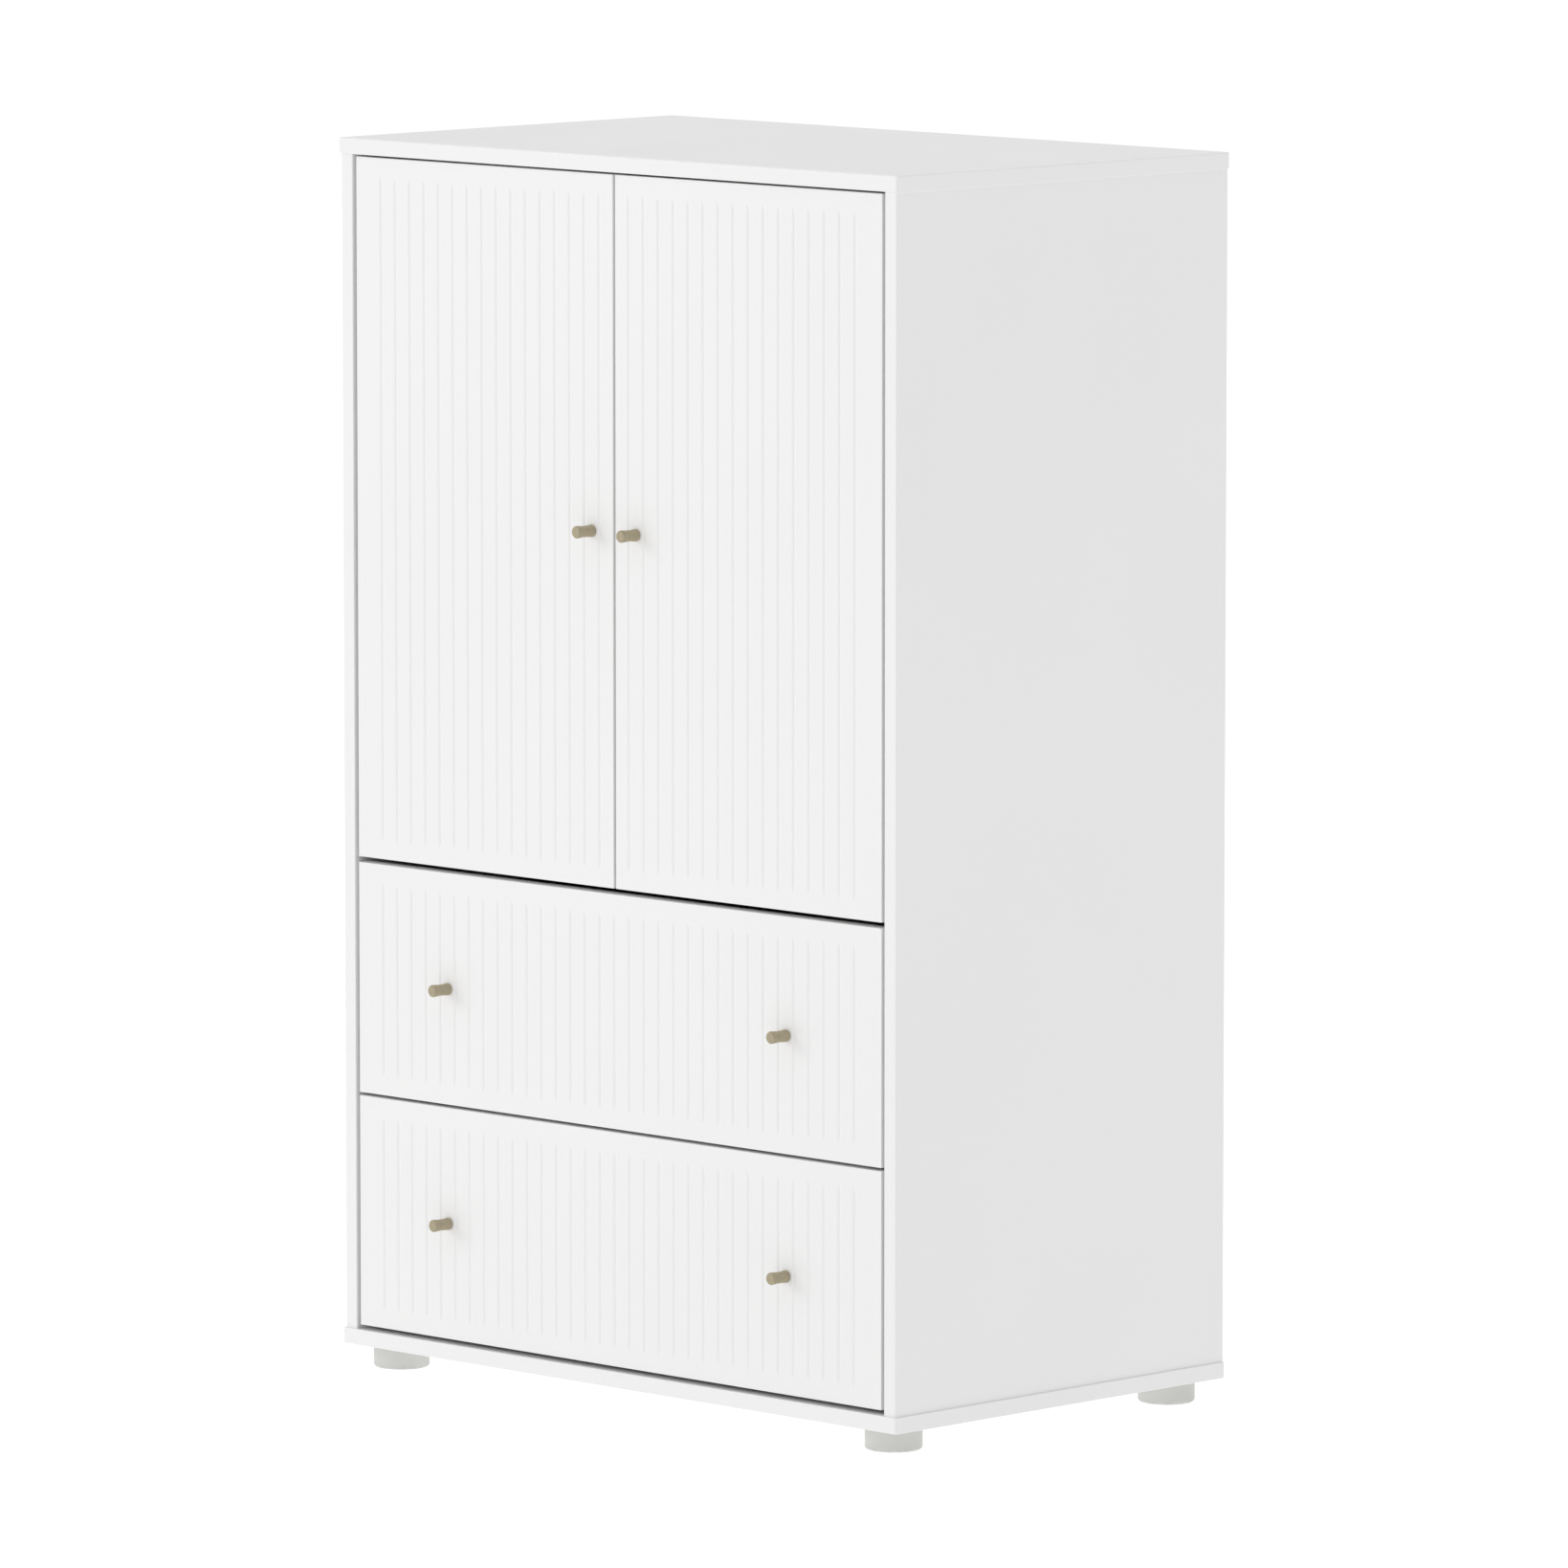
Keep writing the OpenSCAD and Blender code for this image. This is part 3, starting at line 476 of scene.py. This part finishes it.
def buildSidePanel(name, node, side):
    panel, low, high = startBoard(name, node)
    outerX = high.x if side > 0 else low.x
    roundEdges(panel, sideLook["outerRadius"], lambda a, b: isUpright(a, b) and same(a.x, outerX))
    roundEdges(panel, sideLook["innerRadius"],
               lambda a, b: isUpright(a, b) and same(a.x, side * innerX), 3)
    inward = Vector((-side, 0, 0))

    def bore(y, z, look, vertices):
        bottom = Vector((side * innerX, y, z)) - inward * look["depth"]
        return addDrill(bottom, inward, look["radius"], look["depth"] + drillOvershoot, vertices)

    cutters = [backGroove()]
    for pinLow, pinHigh in pinBoxes:
        middle = (pinLow + pinHigh) / 2
        if middle.x * side > 0:
            for row in range(-pegLook["rows"], pegLook["rows"] + 1):
                cutters.append(bore(middle.y, middle.z + row * pegLook["pitch"], pegLook, 24))
    for camLow, camHigh in camBoxes:
        middle = (camLow + camHigh) / 2
        if middle.x * side > innerX:
            cutters.append(bore(middle.y, middle.z, camLook, 48))
    carve(panel, cutters)
    finishBoard(panel, low, high, "carcass", "lacquered_board", node)


buildSidePanel("leftSidePanel", "left_side_panel", -1)
buildSidePanel("rightSidePanel", "right_side_panel", 1)

# Shelves and back panel

shelfLook = {"radius": 0.8 * mm}
backLook = {"radius": 0.4 * mm, "screwHole": 4.75 * mm, "drill": 6 * mm}


def buildPlainBoard(name, node, body, slot, radius, cutters=()):
    board, low, high = startBoard(name, node)
    roundEdges(board, radius, lambda a, b: True, 3)
    if cutters:
        carve(board, list(cutters))
    finishBoard(board, low, high, body, slot, node)


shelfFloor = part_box("fixed_shelf")[0].z
shelfCams = [(low + high) / 2 for low, high in camBoxes if abs(low.x + high.x) / 2 < innerX]
buildPlainBoard("fixedShelf", "fixed_shelf", "carcass", "inner_board", shelfLook["radius"],
                [addDrill((cam.x, cam.y, shelfFloor - drillOvershoot), (0, 0, 1), camLook["radius"],
                          camLook["depth"] + drillOvershoot) for cam in shelfCams])
buildPlainBoard("movableShelf", "movable_shelf", "carcass", "inner_board", shelfLook["radius"])
screwWays = [mount["pos_m"] for mount in frame["record"]["mounts"] if mount["kind"] == "bore"]
buildPlainBoard("backPanel", "back_panel", "carcass", "thin_board", backLook["radius"],
                [addDrill((way[0], backLow.y - drillOvershoot, way[2]), (0, 1, 0), backLook["screwHole"],
                          backLook["drill"]) for way in screwWays])
print("case boards built")

# Grooved doors and drawer fronts

frontLook = {"radius": 0.6 * mm, "pitch": 21.75 * mm, "grooves": 16}
grooveLook = {"halfWidth": 3.0 * mm, "depth": 1.15 * mm, "columns": 12, "margin": 18.4 * mm,
              "runOut": 9 * mm, "runOutSteps": 5, "lead": 0.05 * mm, "softness": 1.5, "thickness": 4 * mm}
cupLook = {"radius": 17.4 * mm, "hole": 17.5 * mm, "depth": 12.1 * mm}


# A strip on the face is bent to a soft hollow that runs out at both ends, then thickened forwards
def buildGrooveCutter(x, face, low, high):
    half = grooveLook["halfWidth"]
    start = face - grooveLook["lead"]
    bpy.ops.mesh.primitive_grid_add(x_subdivisions=grooveLook["columns"], y_subdivisions=1, size=1,
                                    location=(x, start, (low + high) / 2), rotation=(math.pi / 2, 0, 0))
    cutter = named("grooveCutter")
    cutter.scale = (2 * half, high - low, 1)
    freeze(cutter)
    steps = grooveLook["runOutSteps"]
    rows = [(end + way * grooveLook["runOut"] * i / steps, math.sin(math.pi / 2 * i / steps))
            for end, way in ((low, 1), (high, -1)) for i in range(steps + 1)]
    for z, fade in rows:
        if fade > 0:
            editWith(cutter, bpy.ops.mesh.bisect, plane_co=(x, start, z), plane_no=(0, 0, 1))
    for column in range(1, grooveLook["columns"]):
        across = 2 * column / grooveLook["columns"] - 1
        columnX = x + across * half
        selectEdges(cutter, lambda a, b: same(a.x, columnX) and same(b.x, columnX))
        hollow = grooveLook["depth"] * math.cos(math.pi / 2 * across) ** grooveLook["softness"]
        bpy.ops.transform.translate(value=(0, hollow, 0))
        bpy.ops.object.mode_set(mode="OBJECT")
    for z, fade in rows:
        selectEdges(cutter, lambda a, b: same(a.z, z) and same(b.z, z))
        bpy.ops.transform.resize(value=(1, fade, 1), center_override=(x, start, z))
        bpy.ops.object.mode_set(mode="OBJECT")
    forwards = {"value": (0, -grooveLook["thickness"], 0)}
    editWith(cutter, bpy.ops.mesh.extrude_region_move, TRANSFORM_OT_translate=forwards)
    editWith(cutter, bpy.ops.mesh.normals_make_consistent, inside=False)
    return cutter


def buildFront(name, node, body, firstGroove, lastGroove, cupHoles=()):
    front, low, high = startBoard(name, node)
    roundEdges(front, frontLook["radius"], lambda a, b: True, 3)
    margin = grooveLook["margin"]
    groove = buildGrooveCutter(firstGroove * frontLook["pitch"], low.y, low.z + margin, high.z - margin)
    copies = [ownCopy(groove, "grooveCutter", (k * frontLook["pitch"], 0, 0))
              for k in range(1, lastGroove - firstGroove + 1)]
    carve(front, [groove] + copies)
    if cupHoles:
        carve(front, list(cupHoles))
    finishBoard(front, low, high, body, "lacquered_board", node)


count = frontLook["grooves"]
for side, name in ((-1, "left"), (1, "right")):
    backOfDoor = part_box(name + "_door_panel")[1].y
    holes = []
    for low, high in solidBoxes(name + "_hinge_cups"):
        cupX = side * (max(abs(low.x), abs(high.x)) - cupLook["radius"])
        mouth = (cupX, backOfDoor + drillOvershoot, (low.z + high.z) / 2)
        holes.append(addDrill(mouth, (0, -1, 0), cupLook["hole"], cupLook["depth"] + drillOvershoot, 64))
    grooves = (-count, -1) if side < 0 else (1, count)
    buildFront(name + "Door", name + "_door_panel", name + "_door", *grooves, holes)
for name in ("upper", "lower"):
    buildFront(name + "DrawerFront", name + "_front", name + "_drawer", -count, count)
print("doors and drawer fronts built")

# Drawer boxes: grooved sides, a back, and a thin bottom let into the sides

boxLook = {"radius": 1.0 * mm, "bottomRadius": 0.4 * mm, "groove": 6.3 * mm, "gap": 0.15 * mm}


def buildDrawerSide(drawer, side):
    node = f"{drawer}_{side}_side"
    low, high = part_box(node)
    bottomLow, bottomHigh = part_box(drawer + "_bottom")
    inner, outward = (high.x, -1) if side == "left" else (low.x, 1)
    ends = sorted((inner - outward * drillOvershoot, inner + outward * boxLook["groove"]))
    groove = addBlock((ends[0], low.y - drillOvershoot, bottomLow.z - boxLook["gap"]),
                      (ends[1], high.y + drillOvershoot, bottomHigh.z + boxLook["gap"]))
    buildPlainBoard(f"{drawer}{side.title()}Side", node, drawer + "_drawer", "inner_board",
                    boxLook["radius"], [groove])


for drawer in ("upper", "lower"):
    buildDrawerSide(drawer, "left")
    buildDrawerSide(drawer, "right")
    body = drawer + "_drawer"
    buildPlainBoard(drawer + "DrawerBack", drawer + "_back", body, "inner_board", boxLook["radius"])
    buildPlainBoard(drawer + "DrawerBottom", drawer + "_bottom", body, "thin_board",
                    boxLook["bottomRadius"])
print("drawer boxes built")


# A turned piece: a disc drawn out along its axis ring by ring; the profile is (way, radius) pairs
def turnPiece(name, origin, axis, profile, segments=64):
    origin, axis = Vector(origin), Vector(axis)
    turn = Vector((0, 0, 1)).rotation_difference(axis).to_euler()
    way, radius = profile[0]
    bpy.ops.mesh.primitive_circle_add(vertices=segments, radius=radius, fill_type="NGON", rotation=turn,
                                      location=origin + axis * way)
    piece = freeze(named(name))
    bpy.ops.object.mode_set(mode="EDIT")
    bpy.ops.mesh.select_all(action="SELECT")
    for nextWay, nextRadius in profile[1:]:
        bpy.ops.mesh.extrude_region_move(TRANSFORM_OT_translate={"value": axis * (nextWay - way)})
        grow = nextRadius / radius
        bpy.ops.transform.resize(value=[1 if abs(part) > 0.5 else grow for part in axis],
                                 center_override=origin + axis * nextWay)
        way, radius = nextWay, nextRadius
    bpy.ops.object.mode_set(mode="OBJECT")
    ways = []
    for vertex in piece.data.vertices:
        along = (vertex.co - origin).dot(axis)
        ways.append(along + (vertex.co - origin - axis * along).length)
    piece.data.attributes.new("turned", "FLOAT", "POINT").data.foreach_set("value", ways)
    return piece


# Bend of a profile around a centre, from one angle to another in degrees
def arc(way, radius, bend, start, end, steps=6):
    angles = [math.radians(start + (end - start) * i / steps) for i in range(steps + 1)]
    return [(way + bend * math.sin(angle), radius + bend * math.cos(angle)) for angle in angles]


knobLook = {"waist": 0.6 * mm, "tipBend": 2.0 * mm, "footBend": 1.4 * mm, "dish": 0.2 * mm,
            "dishShare": 0.4, "centre": 0.4 * mm, "steps": 14, "swell": 1.3}


def knobProfile(length, radius):
    tip, foot = knobLook["tipBend"], knobLook["footBend"]
    points = arc(foot, radius - foot, foot, -90, 0)
    for i in range(1, knobLook["steps"]):
        share = i / knobLook["steps"]
        narrow = knobLook["waist"] * math.sin(math.pi * share) ** knobLook["swell"]
        points.append((foot + (length - foot - tip) * share, radius - narrow))
    points += arc(length - tip, radius - tip, tip, 0, 90)
    tipFace = length - knobLook["dish"]
    return points + [(tipFace, radius * knobLook["dishShare"]), (tipFace, knobLook["centre"])]


def buildKnobs(node, body, names):
    for name, (low, high) in zip(names, solidBoxes(node)):
        middle = (low + high) / 2
        length, radius = high.y - low.y, (high.x - low.x) / 2
        knob = turnPiece(name, (middle.x, high.y, middle.z), (0, -1, 0), knobProfile(length, radius))
        # The tip faces are marked "rim" for the painted shade on the knob tips
        finishSurface(knob, lambda at: at.y < low.y + knobLook["tipBend"])
        place(knob, body, "knob_metal", node)


buildKnobs("left_door_knob", "left_door", ["leftDoorKnob"])
buildKnobs("right_door_knob", "right_door", ["rightDoorKnob"])
for drawer in ("upper", "lower"):
    buildKnobs(drawer + "_knobs", drawer + "_drawer", [drawer + "LeftKnob", drawer + "RightKnob"])

footLook = {"bottomBend": 3.5 * mm, "topBend": 0.6 * mm, "recess": 7 * mm,
            "recessDepth": 16 * mm, "recessLip": 2 * mm, "centre": 3 * mm}


def buildFoot(name, node):
    low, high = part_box(node)
    middle = (low + high) / 2
    radius, height = (high.x - low.x) / 2, high.z - low.z
    bottom, top = footLook["bottomBend"], footLook["topBend"]
    profile = [(0, footLook["recess"] + footLook["recessLip"])]
    profile += arc(bottom, radius - bottom, bottom, -90, 0, 8)
    profile += [(height / 2, radius)] + arc(height - top, radius - top, top, 0, 90, 4)
    profile += [(height, footLook["centre"])]
    foot = turnPiece(name, (middle.x, middle.y, low.z), (0, 0, 1), profile, 96)
    editWith(foot, bpy.ops.mesh.normals_make_consistent, inside=False)
    carve(foot, [addDrill((middle.x, middle.y, low.z - drillOvershoot), (0, 0, 1), footLook["recess"],
                          footLook["recessDepth"] + drillOvershoot)])
    finishSurface(foot, lambda at: at.z < bottom)
    place(foot, "carcass", "foot_plastic", node)


for end in ("front", "back"):
    for side in ("left", "right"):
        buildFoot(f"{end}{side.title()}Foot", f"{end}_{side}_foot")
print("knobs and feet turned")

# Pale floor, studio lights and camera

floorLook = {"size": 120.0, "colour": (0.3, 0.3, 0.3), "mottle": (0.29, 0.29, 0.29), "mottleScale": 0.8,
             "roughness": 0.9, "glow": 0.84}
worldGlow = 0.62
bpy.ops.mesh.primitive_plane_add(size=floorLook["size"], location=(0, 0, 0))
floor = named("floor")
floorMaterial, tree, shader = startMaterial("paleFloor")
patches = spread(tree, noise(tree, floorLook["mottleScale"], 2), 0.3, 0.7, 0, 1)
mottled = blendColour(tree, patches, floorLook["colour"], floorLook["mottle"])
tree.links.new(mottled, shader.inputs["Base Color"])
shader.inputs["Roughness"].default_value = floorLook["roughness"]
shader.inputs["Emission Color"].default_value = (1, 1, 1, 1)
shader.inputs["Emission Strength"].default_value = floorLook["glow"]
floor.data.materials.append(floorMaterial)

world = bpy.data.worlds.new("studio")
bpy.context.scene.world = world
world.use_nodes = True
background = world.node_tree.nodes["Background"]
background.inputs["Color"].default_value = (1, 1, 1, 1)
background.inputs["Strength"].default_value = worldGlow

lights = [
    {"name": "keySoftbox", "at": (-8.4, -8.3, 4.9), "size": 5.8, "power": 292},
    {"name": "overheadSoftbox", "at": (-0.3, 0.0, 5.5), "size": 8.0, "power": 91},
    {"name": "backSoftbox", "at": (-1.2, 6.5, 3.5), "size": 5.0, "power": 50},
]
aim = Vector((0, 0, 0.7))
for look in lights:
    lamp = bpy.data.lights.new(look["name"], "AREA")
    lamp.shape = "SQUARE"
    lamp.size = look["size"]
    lamp.energy = look["power"]
    light = bpy.data.objects.new(look["name"], lamp)
    light.location = look["at"]
    light.rotation_euler = (aim - Vector(look["at"])).to_track_quat("-Z", "Y").to_euler()
    light.visible_camera = False
    bpy.context.scene.collection.objects.link(light)

cameraLook = {"at": (9.22706, -9.29835, 2.20587), "along": (-0.698777, 0.705388, -0.118902), "lens": 289.0,
              "sensor": 36, "seesTo": 300}
camera = bpy.data.objects.new("camera", bpy.data.cameras.new("camera"))
camera.location = cameraLook["at"]
camera.rotation_euler = Vector(cameraLook["along"]).to_track_quat("-Z", "Y").to_euler()
camera.data.lens = cameraLook["lens"]
camera.data.sensor_width = cameraLook["sensor"]
camera.data.clip_end = cameraLook["seesTo"]
bpy.context.scene.collection.objects.link(camera)
bpy.context.scene.camera = camera
bpy.context.scene.view_settings.view_transform = "Standard"
print("stage set")
